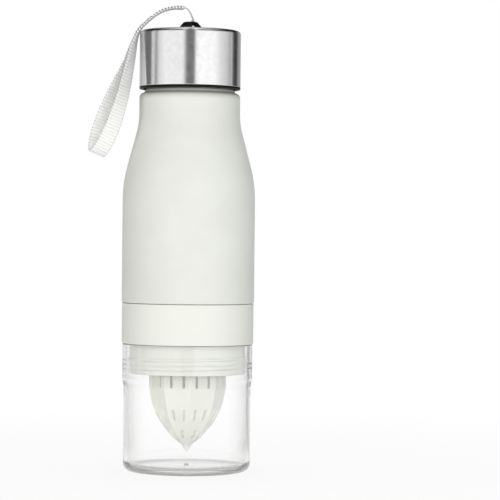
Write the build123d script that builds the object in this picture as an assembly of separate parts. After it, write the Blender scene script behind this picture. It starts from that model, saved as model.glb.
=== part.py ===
"""Fruit infuser water bottle: a frosted body over a citrus juicer and a clear fruit cup.

Millimetres, +Z up, the front towards -Y. The origin is the centre of the cup's foot.
The pieces screw together on one axis, so most of them are turned outlines about Z.
"""

import math
import os

from build123d import *

# The main outside sizes. The body's radius sets the pieces below its flank, and the cap's
# radius sets the shoulder, the neck and the strap's reach over the cap.
body_radius = 35.5
cap_radius = 27.1

# The heights of the pieces, from the foot up.
cup_rim = 68.2
band_height = 21.5
body_height = 111.2
bead_height = 2.7
neck_height = 15.3
cap_height = 31.5

# How far the outlines stand in, from the body's side and from the cap's.
band_step = 0.2
collar_step = 0.7
cup_step = 0.7
shoulder_step = 0.1
bead_step = 1.9
neck_step = 3.8

# Clearances and small shared values.
seam_gap = 0.3
seal_clearance = 0.3
fit_clearance = 0.05
edge_round = 0.4
cut_overrun = 1.0

# The cup.
cup_wall = 2.2
collar_wall = 2.6
collar_height = 20.9
cup_floor = 3.2
foot_round = 4.5
floor_round = 2.5
foot_ring_width = 7.1
foot_recess_depth = 0.8
foot_recess_bevel = 0.8
gate_radius = 1.3
gate_height = 0.5

# The juicer ring, whose two skirts screw into the cup and into the body.
skirt_thread_room = 1.4
skirt_wall = 2.0
lower_skirt_length = 16.0
upper_skirt_length = 14.0
ledge_width = 2.5
ledge_thickness = 1.5

# The seals at the roots of the two skirts, and the gasket in the cap.
seal_width = 2.2
seal_height = 1.5
upper_seal_width = 2.6
gasket_width = 3.5
gasket_height = 1.5

# The juicer cone: a fluted bullet on a flange, with rows of slots.
flange_thickness = 1.8
flange_reach = 8.0
cone_floor_clearance = 8.8
cone_wall = 1.5
cone_fullness_share = 2.8
flute_depth_share = 0.075
ridge_count = 9
ridge_angle = 5.0
nib_tip_radius = 0.25
nib_length = 1.6
slot_width = 1.3
top_slot_length = 6.0
middle_slot_share = 0.376
middle_slot_length = 5.9
low_slot_share = 0.147
low_slot_length = 4.4
cone_station_shares = (0.045, 0.12, 0.22, 0.34, 0.48, 0.66, 0.84, 1.0)
cavity_station_shares = (0.16, 0.24, 0.34, 0.48, 0.66, 0.84)

# The frosted body.
body_wall = 2.0
flank_length = 32.1
shoulder_height = 15.2
flank_foot_round = 69.0
flank_top_round = 42.0
shoulder_round = 1.6
inner_shoulder_round = 1.5
body_thread_wall = 3.1
body_thread_length = 16.0
thread_run_out = 1.5
neck_wall = 2.3
rim_round = 0.6

# The cap: a steel shell over a black liner, with the lug for the strap.
steel = 0.5
cap_round = 2.0
lug_hole_radius = 4.2
liner_ring_height = 1.2
liner_bore_clearance = 1.3
liner_plate = 1.8
liner_sleeve_wall = 1.7
liner_bevel = 1.7
boss_radius = 5.5
boss_bore = 3.0
boss_floor = 1.4
liner_rib = 1.2
liner_rib_clearance = 3.1
liner_rib_count = 6
lug_radius = 6.3
lug_brow_radius = 6.0
lug_brow_height = 2.0
lug_top_radius = 3.6
lug_height = 4.8
lug_brow_round = 1.0
lug_top_round = 1.5
lug_shank_clearance = 1.8
tunnel_width = 2.4
tunnel_floor = 1.0
tunnel_roof = 0.9
lug_turn = 17.0

# The wrist strap, a flat woven tape doubled into a loop, and the string that ties it on.
tape_width = 8.8
tape_thickness = 0.8
tape_stations = 84
string_diameter = 1.0
bend_share = 0.45

# The tape's route from its sewn end, round the loop and back: x, y, the height over the
# cap's top and the turn of its width in degrees, from 0 across the front view to 90 along it.
# It is drawn for one radius of the cap, and its reach follows the real one.
tie_reach = 3.4
route_cap_radius = 27.1
tape_route = [
    (-3.4, 0.0, 12.4, 0),
    (-9.6, 0.0, 12.4, 0),
    (-15.4, -0.3, 10.5, 0),
    (-20.4, -1.2, 6.9, 0),
    (-24.0, -1.9, 3.5, 0),
    (-27.4, -2.1, 0.0, 2),
    (-29.1, -2.3, -4.8, 8),
    (-30.6, -2.6, -9.8, 20),
    (-32.5, -2.9, -18.4, 28),
    (-34.5, -3.4, -27.1, 36),
    (-36.8, -4.0, -35.8, 44),
    (-39.2, -4.6, -44.5, 54),
    (-42.2, -5.0, -52.8, 64),
    (-45.9, -4.8, -60.8, 72),
    (-49.6, -1.8, -66.4, 76),
    (-51.4, 3.4, -66.1, 78),
    (-51.0, 5.4, -59.8, 74),
    (-49.3, 5.6, -52.6, 66),
    (-46.9, 5.2, -45.0, 56),
    (-43.4, 4.4, -36.2, 44),
    (-38.6, 3.2, -26.0, 34),
    (-34.6, 2.2, -18.2, 27),
    (-31.8, 1.9, -9.8, 18),
    (-30.2, 1.8, -4.6, 7),
    (-28.4, 1.8, 0.6, 2),
    (-24.7, 1.8, 4.4, 0),
    (-20.9, 1.2, 8.0, 0),
    (-15.8, 0.3, 11.6, 0),
    (-9.6, 0.0, 13.5, 0),
    (-3.4, 0.0, 13.5, 0),
]

# The string's route, with its height over the cap's top: from the tape down behind the lug,
# through its tunnel to the front, round its right side and back up to the tape.
string_route = [
    (-3.4, -0.9, 12.4),
    (-2.2, -0.9, 12.4),
    (-0.8, -0.3, 10.9),
    (0.0, 1.0, 9.1),
    (0.3, 3.0, 7.6),
    (-0.2, 5.6, 6.5),
    (-1.5, 7.9, 5.5),
    (-2.4, 8.9, 3.9),
    (-2.2, 7.4, 2.4),
    (-1.2, 4.2, 2.2),
    (0.3, -1.2, 2.3),
    (1.7, -5.6, 2.1),
    (3.4, -8.2, 1.6),
    (6.5, -7.0, 1.2),
    (8.9, -2.8, 1.0),
    (8.6, 2.2, 1.2),
    (6.6, 5.6, 2.4),
    (4.0, 6.2, 4.4),
    (2.0, 4.6, 6.3),
    (0.6, 2.4, 8.4),
    (-0.6, 1.1, 10.7),
    (-2.2, 0.9, 12.4),
    (-3.4, 0.9, 12.4),
]

# Radii that follow from the sizes above.
band_radius = body_radius - band_step
collar_radius = body_radius - collar_step
cup_radius = collar_radius - cup_step
foot_recess_radius = cup_radius - foot_ring_width
skirt_radius = body_radius - body_thread_wall - skirt_thread_room
shoulder_radius = cap_radius - shoulder_step
bead_radius = cap_radius - bead_step
neck_radius = cap_radius - neck_step
mouth_radius = neck_radius - neck_wall

# Heights and clearances that follow, from the foot up.
collar_foot = cup_rim - collar_height
band_foot = cup_rim + seam_gap
band_top = band_foot + band_height
skirt_bore = skirt_radius - skirt_wall
lower_skirt_foot = band_foot - lower_skirt_length
flange_top = lower_skirt_foot + flange_thickness
cone_radius = skirt_bore - flange_reach
cone_tip = cup_floor + cone_floor_clearance
nib_foot = cone_tip - nib_length
upper_skirt_top = band_top + upper_skirt_length
seal_bore = skirt_radius + seal_clearance
seal_outer = seal_bore + seal_width
seal_top = cup_rim + seal_height
upper_seal_outer = seal_bore + upper_seal_width
upper_seal_top = band_top + seal_height
body_foot = band_top + seam_gap
body_thread_bore = body_radius - body_thread_wall
body_bore = body_radius - body_wall
bead_foot = body_foot + body_height
flank_top = bead_foot - shoulder_height
flank_foot = flank_top - flank_length
bead_top = bead_foot + bead_height
neck_top = bead_top + neck_height
gasket_top = neck_top + gasket_height
plate_top = gasket_top + liner_plate
liner_foot = bead_top + seam_gap
shell_foot = liner_foot + liner_ring_height
cap_top = shell_foot - liner_ring_height + cap_height
liner_bore = neck_radius + liner_bore_clearance
liner_radius = cap_radius - steel - fit_clearance
shell_ceiling = cap_top - steel


def turned(*corners):
    """Turn an outline of (radius, height, rounding) corners about the bottle's axis."""
    points = [(radius, 0, height) for radius, height, rounding in corners]
    roundings = [rounding for radius, height, rounding in corners]
    outline = FilletPolyline(*points, radius=roundings, close=True)
    return revolve(make_face(outline.edges()), Axis.Z)


def ring(inner, outer, foot, top, rounding):
    """A plain ring with its four edges rounded."""
    return turned(
        (inner, foot, rounding), (outer, foot, rounding), (outer, top, rounding), (inner, top, rounding)
    )


def make_fruit_cup():
    """The clear cup, with a thicker collar where the juicer screws in."""
    bore = cup_radius - cup_wall
    collar_bore = collar_radius - collar_wall
    cup = turned(
        (0, foot_recess_depth, 0),
        (foot_recess_radius, foot_recess_depth, edge_round),
        (foot_recess_radius + foot_recess_bevel, 0, edge_round),
        (cup_radius, 0, foot_round),
        (cup_radius, collar_foot, edge_round / 2),
        (collar_radius, collar_foot, edge_round / 2),
        (collar_radius, cup_rim, edge_round),
        (collar_bore, cup_rim, edge_round),
        (collar_bore, collar_foot, 0),
        (bore, collar_foot - collar_wall + cup_wall, 0),
        (bore, cup_floor, floor_round),
        (0, cup_floor, 0),
    )
    gate = Pos(0, 0, foot_recess_depth - gate_height) * Cylinder(
        gate_radius, gate_height + cup_floor / 2, align=(Align.CENTER, Align.CENTER, Align.MIN)
    )
    return cup + gate


def make_lower_seal():
    """The silicone ring between the cup's rim and the underside of the band."""
    return ring(seal_bore, seal_outer, cup_rim, seal_top, edge_round)


def make_juicer_ring():
    """The opaque ring: a band between two skirts, with the ledge that the cone seats under."""
    rebate = seal_outer + seal_clearance
    return turned(
        (skirt_radius, lower_skirt_foot, edge_round),
        (skirt_radius, seal_top, 0),
        (rebate, seal_top, 0),
        (rebate, band_foot, 0),
        (band_radius, band_foot, edge_round),
        (band_radius, band_top, edge_round),
        (skirt_radius, band_top, 0),
        (skirt_radius, upper_skirt_top, edge_round),
        (skirt_bore, upper_skirt_top, edge_round),
        (skirt_bore, flange_top + ledge_thickness, 0),
        (skirt_bore - ledge_width, flange_top + ledge_thickness, edge_round),
        (skirt_bore - ledge_width, flange_top, 0),
        (skirt_bore, flange_top, 0),
        (skirt_bore, lower_skirt_foot, 0),
    )


def cone_height(share):
    """Height on the cone, at a share of the way from its tip to its flange."""
    return cone_tip + share * (flange_top - cone_tip)


def ridge_radius(share):
    """Radius of the cone's ridges: a bullet, blunt near the tip and upright at the flange."""
    return cone_radius * (1 - (1 - share) ** cone_fullness_share)


def cone_section(share):
    """One level section of the cone: hollow flutes between sharp ridges."""
    ridge = ridge_radius(share)
    valley = ridge * (1 - flute_depth_share)
    step = 360 / ridge_count
    flutes = []
    for index in range(ridge_count):
        angle = ridge_angle - 90 + index * step
        start, middle, end = [
            (radius * math.cos(math.radians(turn)), radius * math.sin(math.radians(turn)))
            for radius, turn in ((ridge, angle), (valley, angle + step / 2), (ridge, angle + step))
        ]
        flutes.append(ThreePointArc(start, middle, end))
    return Pos(0, 0, cone_height(share)) * make_face(flutes)


def cone_cavity():
    """The hollow of the cone, a wall inside the flutes' valleys, open at the flange."""
    inside = [
        (ridge_radius(share) * (1 - flute_depth_share) - cone_wall, 0, cone_height(share))
        for share in cavity_station_shares
    ]
    mouth = cone_radius * (1 - flute_depth_share) - cone_wall
    top = flange_top + cut_overrun
    bullet = Spline((0, 0, cone_height(cavity_station_shares[0]) - cone_wall), *inside)
    sides = Polyline(inside[-1], (mouth, 0, flange_top), (mouth, 0, top), (0, 0, top), bullet @ 0)
    return revolve(make_face([bullet, *sides.edges()]), Axis.Z)


def slot_row(count, first_angle, foot, length):
    """A ring of upright slots that run out through the cone's wall."""
    corner = (Align.MIN, Align.CENTER, Align.MIN)
    slot = Box(cone_radius + cut_overrun, slot_width, length, align=corner)
    return [Pos(0, 0, foot) * place * slot for place in PolarLocations(0, count, first_angle)]


def make_juicer_cone():
    """The reamer, hung point down: nine ridges, and two slots to each flute in two rows."""
    bullet = loft([cone_section(share) for share in cone_station_shares])
    blunt = cone_station_shares[0]
    valley = ridge_radius(blunt) * (1 - flute_depth_share)
    nib = Pos(0, 0, nib_foot) * Cone(
        nib_tip_radius, valley, cone_height(blunt) - nib_foot, align=(Align.CENTER, Align.CENTER, Align.MIN)
    )
    flange = ring(0, skirt_bore - fit_clearance, lower_skirt_foot, flange_top, 0)
    step = 360 / ridge_count
    first = ridge_angle - 90 + step / 4
    top_foot = lower_skirt_foot - top_slot_length
    slots = slot_row(2 * ridge_count, first, top_foot, top_slot_length)
    middle_foot = cone_height(middle_slot_share)
    low_foot = cone_height(low_slot_share)
    slots += slot_row(2 * ridge_count, first, middle_foot, middle_slot_length)
    slots += slot_row(ridge_count, first + step / 4, low_foot, low_slot_length)
    return bullet + nib + flange - cone_cavity() - slots


def make_upper_seal():
    """The silicone ring in the rebate of the body's foot, on top of the band."""
    return ring(seal_bore, upper_seal_outer, band_top, upper_seal_top, edge_round)


def make_upper_body():
    """The frosted body: straight sides, a drawn-in flank, a shoulder and a threaded neck."""
    inner_shoulder = bead_foot - body_wall
    rebate = upper_seal_outer + seal_clearance
    thread_top = body_foot + body_thread_length
    return turned(
        (rebate, body_foot, 0),
        (body_radius, body_foot, edge_round),
        (body_radius, flank_foot, flank_foot_round),
        (shoulder_radius, flank_top, flank_top_round),
        (shoulder_radius, bead_foot, shoulder_round),
        (bead_radius, bead_foot, 0),
        (bead_radius, bead_top, edge_round),
        (neck_radius, bead_top, 0),
        (neck_radius, neck_top, rim_round),
        (mouth_radius, neck_top, rim_round),
        (mouth_radius, inner_shoulder, inner_shoulder_round),
        (shoulder_radius - body_wall, inner_shoulder, inner_shoulder_round),
        (shoulder_radius - body_wall, flank_top, flank_top_round + body_wall),
        (body_bore, flank_foot, flank_foot_round - body_wall),
        (body_bore, thread_top + thread_run_out, 0),
        (body_thread_bore, thread_top, 0),
        (body_thread_bore, upper_seal_top, 0),
        (rebate, upper_seal_top, 0),
    )


def make_cap_gasket():
    """The flat silicone ring that the cap presses on the rim of the neck."""
    outer = liner_bore - seal_clearance
    return ring(outer - gasket_width, outer, neck_top, gasket_top, edge_round)


def make_cap_liner():
    """The black liner: threaded sleeve, plate over the neck, ribs and a boss for the lug."""
    sleeve_bore = liner_radius - liner_sleeve_wall
    liner = turned(
        (0, gasket_top, 0),
        (liner_bore, gasket_top, 0),
        (liner_bore, liner_foot, edge_round),
        (cap_radius, liner_foot, edge_round),
        (cap_radius, shell_foot, 0),
        (liner_radius, shell_foot, 0),
        (liner_radius, shell_ceiling - liner_bevel, 0),
        (liner_radius - liner_bevel, shell_ceiling, 0),
        (sleeve_bore - liner_bevel, shell_ceiling, 0),
        (sleeve_bore, shell_ceiling - liner_bevel, 0),
        (sleeve_bore, plate_top, 0),
        (boss_radius, plate_top, 0),
        (boss_radius, shell_ceiling, 0),
        (boss_bore, shell_ceiling, 0),
        (boss_bore, plate_top + boss_floor, 0),
        (0, plate_top + boss_floor, 0),
    )
    reach = (boss_radius + boss_bore) / 2
    corner = (Align.MIN, Align.CENTER, Align.MIN)
    rib_foot = gasket_top + liner_plate / 2
    rib_length = sleeve_bore + liner_sleeve_wall / 2 - reach
    rib_height = shell_ceiling - liner_rib_clearance - rib_foot
    rib = Pos(reach, 0, rib_foot) * Box(rib_length, liner_rib, rib_height, align=corner)
    return liner + [place * rib for place in PolarLocations(0, liner_rib_count)]


def make_cap_shell():
    """The drawn steel shell, with a round hole in its top for the lug."""
    return turned(
        (cap_radius - steel, shell_foot, 0),
        (cap_radius, shell_foot, 0),
        (cap_radius, cap_top, cap_round),
        (lug_hole_radius, cap_top, 0),
        (lug_hole_radius, shell_ceiling, 0),
        (cap_radius - steel, shell_ceiling, cap_round - steel),
    )


def make_strap_lug():
    """The black lug: a low dome with a tunnel, on a shank pressed into the liner's boss."""
    shoulder = lug_hole_radius - fit_clearance
    shank = boss_bore - fit_clearance
    shank_foot = plate_top + boss_floor + lug_shank_clearance
    lug_top = cap_top + lug_height
    lug = turned(
        (0, shank_foot, 0),
        (shank, shank_foot, edge_round),
        (shank, shell_ceiling, 0),
        (shoulder, shell_ceiling, 0),
        (shoulder, cap_top, 0),
        (lug_radius, cap_top, 0),
        (lug_brow_radius, cap_top + lug_brow_height, lug_brow_round),
        (lug_top_radius, lug_top, lug_top_round),
        (0, lug_top, 0),
    )
    half = tunnel_width / 2
    arch_height = lug_height - tunnel_floor - tunnel_roof - half
    length = 2 * (lug_radius + cut_overrun)
    straight = Box(tunnel_width, length, arch_height, align=(Align.CENTER, Align.CENTER, Align.MIN))
    arch = Pos(0, 0, arch_height) * Rot(90, 0, 0) * Cylinder(half, length)
    tunnel = Pos(0, 0, cap_top + tunnel_floor) * Rot(0, 0, lug_turn) * (straight + arch)
    return lug - tunnel


def bend_radii(points):
    """The largest arc that each corner's two runs allow."""
    radii = []
    for before, corner, after in zip(points, points[1:], points[2:]):
        arriving = Vector(corner) - Vector(before)
        leaving = Vector(after) - Vector(corner)
        half_turn = math.radians(arriving.get_angle(leaving)) / 2
        radii.append(bend_share * min(arriving.length, leaving.length) / math.tan(half_turn))
    return radii


def make_strap_string():
    """The thin round string, one unbroken tube."""
    points = [(x, y, cap_top + height) for x, y, height in string_route]
    radii = bend_radii(points)
    path = FilletPolyline(*points, radius=radii)
    section = Plane(origin=path @ 0, z_dir=path % 0) * Circle(string_diameter / 2)
    string = sweep(section, path=path)
    area = math.pi * (string_diameter / 2) ** 2
    print("string length", round(path.length, 1), "radii", [round(radius, 1) for radius in radii])
    print("string volume", round(string.volume, 2), "of", round(area * path.length, 2))
    return string


def width_turn(share, turns, stops):
    """The turn of the tape's width at a share of its length, between the route's points."""
    for index, stop in enumerate(stops[1:]):
        if share <= stop:
            part = (share - stops[index]) / (stop - stops[index])
            return turns[index] + part * (turns[index + 1] - turns[index])
    return turns[-1]


def make_wrist_strap():
    """The flat tape, lofted through level sections that turn with it along its route."""
    stretch = (cap_radius - tie_reach) / (route_cap_radius - tie_reach)
    points = [
        ((x + tie_reach) * stretch - tie_reach, y, cap_top + height) for x, y, height, turn in tape_route
    ]
    turns = [turn for x, y, height, turn in tape_route]
    radii = bend_radii(points)
    path = FilletPolyline(*points, radius=radii)
    reached = [0]
    for start, end in zip(points, points[1:]):
        reached.append(reached[-1] + (Vector(end) - Vector(start)).length)
    stops = [distance / reached[-1] for distance in reached]
    sections = []
    for index in range(tape_stations + 1):
        share = index / tape_stations
        turn = math.radians(width_turn(share, turns, stops))
        across = Vector(math.sin(turn), math.cos(turn), 0)
        along = path % share
        level = Plane(origin=path @ share, x_dir=across - along * across.dot(along), z_dir=along)
        sections.append(level * Rectangle(tape_width, tape_thickness))
    tape = loft(sections, ruled=True)
    print("tape length", round(path.length, 1), "radii", [round(radius, 1) for radius in radii])
    print("tape volume", round(tape.volume), "of", round(tape_width * tape_thickness * path.length))
    return tape


os.makedirs("parts", exist_ok=True)
pieces = {
    "fruit_cup": make_fruit_cup,
    "lower_seal": make_lower_seal,
    "juicer_ring": make_juicer_ring,
    "juicer_cone": make_juicer_cone,
    "upper_seal": make_upper_seal,
    "upper_body": make_upper_body,
    "cap_gasket": make_cap_gasket,
    "cap_liner": make_cap_liner,
    "cap_shell": make_cap_shell,
    "strap_lug": make_strap_lug,
    "strap_string": make_strap_string,
    "wrist_strap": make_wrist_strap,
}
for name, make in pieces.items():
    export_step(make(), f"parts/{name}.step")
    print("wrote", name)
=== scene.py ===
import math
from functools import partial

import bmesh
import bpy
from mathutils import Matrix, Vector


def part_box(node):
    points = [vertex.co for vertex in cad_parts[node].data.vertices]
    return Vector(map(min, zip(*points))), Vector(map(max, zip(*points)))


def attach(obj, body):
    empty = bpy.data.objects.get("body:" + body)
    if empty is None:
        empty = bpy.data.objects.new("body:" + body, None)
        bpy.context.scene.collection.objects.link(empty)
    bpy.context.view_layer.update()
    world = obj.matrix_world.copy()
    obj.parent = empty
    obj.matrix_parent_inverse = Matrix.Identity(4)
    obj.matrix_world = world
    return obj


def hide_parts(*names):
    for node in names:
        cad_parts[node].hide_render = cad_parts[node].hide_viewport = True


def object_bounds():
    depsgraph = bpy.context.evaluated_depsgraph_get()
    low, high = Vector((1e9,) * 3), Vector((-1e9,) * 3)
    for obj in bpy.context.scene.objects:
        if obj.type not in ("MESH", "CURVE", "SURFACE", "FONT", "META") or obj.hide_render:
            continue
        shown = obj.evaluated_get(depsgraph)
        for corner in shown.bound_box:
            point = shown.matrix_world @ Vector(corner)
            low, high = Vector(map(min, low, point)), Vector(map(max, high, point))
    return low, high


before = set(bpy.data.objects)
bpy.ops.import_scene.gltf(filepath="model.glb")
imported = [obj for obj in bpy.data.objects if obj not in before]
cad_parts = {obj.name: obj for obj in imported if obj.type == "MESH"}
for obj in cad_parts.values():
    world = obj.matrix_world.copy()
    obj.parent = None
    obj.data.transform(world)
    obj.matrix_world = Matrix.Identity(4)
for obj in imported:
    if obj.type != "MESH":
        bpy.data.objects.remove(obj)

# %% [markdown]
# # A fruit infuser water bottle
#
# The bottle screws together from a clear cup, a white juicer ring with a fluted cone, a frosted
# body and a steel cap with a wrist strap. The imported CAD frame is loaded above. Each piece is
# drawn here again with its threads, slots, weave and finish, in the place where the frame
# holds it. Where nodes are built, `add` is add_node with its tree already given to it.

MM = 0.001
TAU = 2 * math.pi
VECTOR, RANGE = "ShaderNodeVectorMath", "ShaderNodeMapRange"
SPLIT, JOIN, MIX = "ShaderNodeSeparateXYZ", "ShaderNodeCombineXYZ", "ShaderNodeMix"
NOISE, RAMP, PLACE = "ShaderNodeTexNoise", "ShaderNodeValToRGB", "ShaderNodeTexCoord"
WHITE = (1, 1, 1, 1)
cad_low, cad_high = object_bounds()
scene = bpy.context.scene


def colour(code):
    """An sRGB hex colour as the linear values that a shader takes."""
    parts = [int(code[start : start + 2], 16) / 255 for start in (1, 3, 5)]
    return [p / 12.92 if p <= 0.04045 else ((p + 0.055) / 1.055) ** 2.4 for p in parts] + [1]


def plug(node, inputs):
    """Fill sockets, in order or by name: a value is written in, a node or a socket is linked."""
    for name, value in inputs.items() if isinstance(inputs, dict) else enumerate(inputs):
        source = value.outputs[0] if isinstance(value, bpy.types.Node) else value
        if isinstance(source, bpy.types.NodeSocket):
            node.id_data.links.new(source, node.inputs[name])
        else:
            node.inputs[name].default_value = source


def add_node(tree, kind, inputs=(), **settings):
    """Add a node, a maths node where the kind is a sum in capitals. Settings are properties."""
    if kind.isupper():
        kind, settings = "ShaderNodeMath", {"operation": kind, **settings}
    node = tree.nodes.new(kind)
    for name, value in settings.items():
        setattr(node, name, value)
    plug(node, inputs)
    return node


frame_size = [round((high - low) / MM, 1) for low, high in zip(cad_low, cad_high)]
print("frame", len(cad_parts), "nodes, box in mm", frame_size)

# %% [markdown]
# ## The camera
#
# The photograph was taken from far off with a long lens, almost level, a little below the
# bottle's middle, so its rings are nearly straight lines. The bottle stands left of the
# middle and leans by half a degree, which is a roll of the camera.

# %% The camera at the photograph's view
camera_distance = 1290 * MM
camera_height = 128.7 * MM
camera_lens = 173
aim_right = math.radians(1.469)
aim_down = math.radians(0.438)
camera_roll = math.radians(0.57)

forward = Vector((math.sin(aim_right), math.cos(aim_right), -math.tan(aim_down))).normalized()
right = forward.cross(Vector((0, 0, 1))).normalized()
up = right.cross(forward)
rolled_right = right * math.cos(camera_roll) + up * math.sin(camera_roll)
rolled_up = rolled_right.cross(forward)
camera = bpy.data.objects.new("camera", bpy.data.cameras.new("camera"))
camera.data.lens = camera_lens
camera.data.sensor_width = 36
camera.data.clip_end = 20
camera_turn = Matrix((rolled_right, rolled_up, -forward)).transposed().to_4x4()
camera.matrix_world = Matrix.Translation((0, -camera_distance, camera_height)) @ camera_turn
scene.collection.objects.link(camera)
scene.camera = camera
print("camera", camera_lens, "mm lens at", round(camera_distance / MM), "mm")

# %% [markdown]
# ## The cords first: strap and string routes
#
# The strap is one flat woven tape, doubled and sewn into a loop. A thin string ties it through
# the lug. Both lie on smooth NURBS curves, because woven tape never bends like wire. A second
# curve carries the turn of the tape's width, point for point.

# %% Points read from a smooth curve
CAP_TOP = 236.0
TAPE_UNDER, TAPE_OVER = 12.1, 12.92  # the tape's two layers, above the cap, where they are sewn
SMOOTH_STEPS = 30

tape_route = [
    (-3.4, 0, TAPE_UNDER, 0), (-9.6, 0, TAPE_UNDER, 0), (-15.4, -0.3, 10.3, 0),
    (-20.4, -0.8, 6.9, 0), (-24, -1.9, 3.5, 0), (-27.4, -2.1, 0, 2), (-29.1, -2.3, -4.8, 8),
    (-30.5, -2.6, -9.8, 20), (-32.1, -2.9, -18.4, 28), (-33.9, -3.4, -27.1, 36),
    (-35.9, -4, -35.8, 44), (-38.4, -4.6, -44.5, 54), (-41.4, -5, -52.8, 64),
    (-45, -4.8, -60.8, 72), (-48.8, -1.8, -66.4, 76), (-50.5, 3.4, -66.1, 78),
    (-50.1, 5.4, -59.8, 74), (-48.4, 5.6, -52.6, 66), (-46, 5.2, -45, 56), (-42.5, 4.4, -36.2, 44),
    (-38, 3.2, -26, 34), (-34.2, 2.2, -18.2, 27), (-31.7, 1.9, -9.8, 18), (-30.2, 1.8, -4.6, 7),
    (-28.4, 1.8, 0.6, 2), (-24.7, 1.8, 4.4, 0), (-21, 0.8, 7.6, 0), (-15.8, 0.2, 11.1, 0),
    (-9.6, 0, TAPE_OVER, 0), (-3.4, 0, TAPE_OVER, 0),
]
string_route = [
    (-3.4, -0.9, 12.4), (-2.2, -0.9, 12.4), (-0.8, -0.3, 10.9), (0.1, 0.9, 9.3), (0.9, 2.6, 7.7),
    (1.3, 4.2, 6.3), (0.2, 6.6, 5.4), (-1.4, 8.4, 4.2), (-2, 8.2, 2.8), (-1.6, 6.4, 2.2),
    (-1, 3.5, 2.2), (0.3, -1.2, 2.3), (1.2, -5.2, 2), (2.6, -8.3, 0.7), (6.3, -7.4, 0.7),
    (8.9, -2.8, 0.8), (9, 2.4, 0.8), (7.2, 7, 0.9), (4.4, 9, 1.4), (2.9, 8.6, 3.1), (2.2, 7.4, 4.8),
    (1.4, 6, 6.3), (0.9, 4.4, 7.8), (0.1, 2.8, 9.4), (-0.8, 1.7, 10.9), (-2.2, 0.9, 12.4),
    (-3.4, 0.9, 12.4),
]


def read_smooth(points):
    """The points of a NURBS curve that has these control points."""
    curve = bpy.data.curves.new("route", "CURVE")
    curve.dimensions = "3D"
    curve.resolution_u = SMOOTH_STEPS
    spline = curve.splines.new("NURBS")
    spline.points.add(len(points) - 1)
    for control, point in zip(spline.points, points):
        control.co = (*point, 1)
    spline.order_u = 3
    spline.use_endpoint_u = True
    holder = bpy.data.objects.new("route", curve)
    mesh = bpy.data.meshes.new_from_object(holder)
    read = [vertex.co.copy() for vertex in mesh.vertices]
    bpy.data.objects.remove(holder)
    return read


def run_lengths(line):
    """The distance along a line at each of its points."""
    runs = [0.0]
    for before, after in zip(line, line[1:]):
        runs.append(runs[-1] + (after - before).length)
    return runs


tape_line = read_smooth([(x * MM, y * MM, (CAP_TOP + z) * MM) for x, y, z, turn in tape_route])
tape_turns = [point.x for point in read_smooth([(turn, 0, 0) for x, y, z, turn in tape_route])]
string_line = read_smooth([(x * MM, y * MM, (CAP_TOP + z) * MM) for x, y, z in string_route])
tape_runs, string_runs = run_lengths(tape_line), run_lengths(string_line)
print("tape", round(tape_runs[-1] / MM, 1), "mm in", len(tape_line), "points")
print("string", round(string_runs[-1] / MM, 1), "mm in", len(string_line), "points")

# %% [markdown]
# ## The finishes
#
# Each finish starts from what the real material is and how it was made. Patterns are measured
# in metres on the piece itself, so a grain of a quarter of a millimetre has a scale of 4000.
# A finish may let one socket drift with a soft noise and may have a fine grain.

# %% A new material
NOISE_LOW, NOISE_HIGH = 0.35, 0.65  # nearly all of a noise lies between these values


def vary(add, shader, place, socket, low, high, scale):
    """Let a socket drift between two values or colours with a soft noise."""
    noise = add(NOISE, {"Vector": place, "Scale": scale, "Detail": 2})
    if isinstance(low, str):
        drift = add(RAMP, [noise])
        ends = zip(drift.color_ramp.elements, (NOISE_LOW, NOISE_HIGH), (low, high))
        for element, position, code in ends:
            element.position, element.color = position, colour(code)
    else:
        drift = add(RANGE, [noise, NOISE_LOW, NOISE_HIGH, low, high])
    plug(shader, {socket: drift})


def grain(add, shader, place, scale, depth, strength, stretch=(1, 1, 1)):
    """Raise a fine grain in the surface, stretched where the finish is brushed."""
    laid = add("ShaderNodeMapping", {"Vector": place, "Scale": stretch})
    noise = add(NOISE, {"Vector": laid, "Scale": scale, "Detail": 3})
    bump = add("ShaderNodeBump", {"Height": noise, "Distance": depth, "Strength": strength})
    plug(shader, {"Normal": bump})


def new_finish(name, base, sockets, drift=None, relief=None):
    """A material with its drift and grain, its adder, its shader and the piece's coordinates."""
    finish = bpy.data.materials.new(name)
    finish.diffuse_color = colour(base)
    finish.use_nodes = True
    add = partial(add_node, finish.node_tree)
    shader = finish.node_tree.nodes["Principled BSDF"]
    plug(shader, {"Base Color": colour(base), **sockets})
    place = add(PLACE).outputs["Object"]
    if drift:
        vary(add, shader, place, *drift)
    if relief:
        grain(add, shader, place, *relief)
    return finish, add, shader, place


# %% [markdown]
# ### The frosted body's plastic
#
# The body is blow-moulded copolyester, frosted by blasting, so every edge behind it melts
# away. Shade is painted into its colour: it turns greyer under the cap, where an occlusion test
# finds little open sky, and in a painted band on the soft edge of the shoulder that stands in
# for the cap's shadow. The band of painted shade stops at the neck.

# %% Frosted plastic
frosted, add, shader, place = new_finish(
    "blasted copolyester", "#EAECE5", {"Roughness": 0.5, "IOR": 1.57, "Transmission Weight": 0.1},
    ("Base Color", "#E8EAE3", "#ECEEE8", 45), (4000, 0.02 * MM, 0.25),
)
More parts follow.
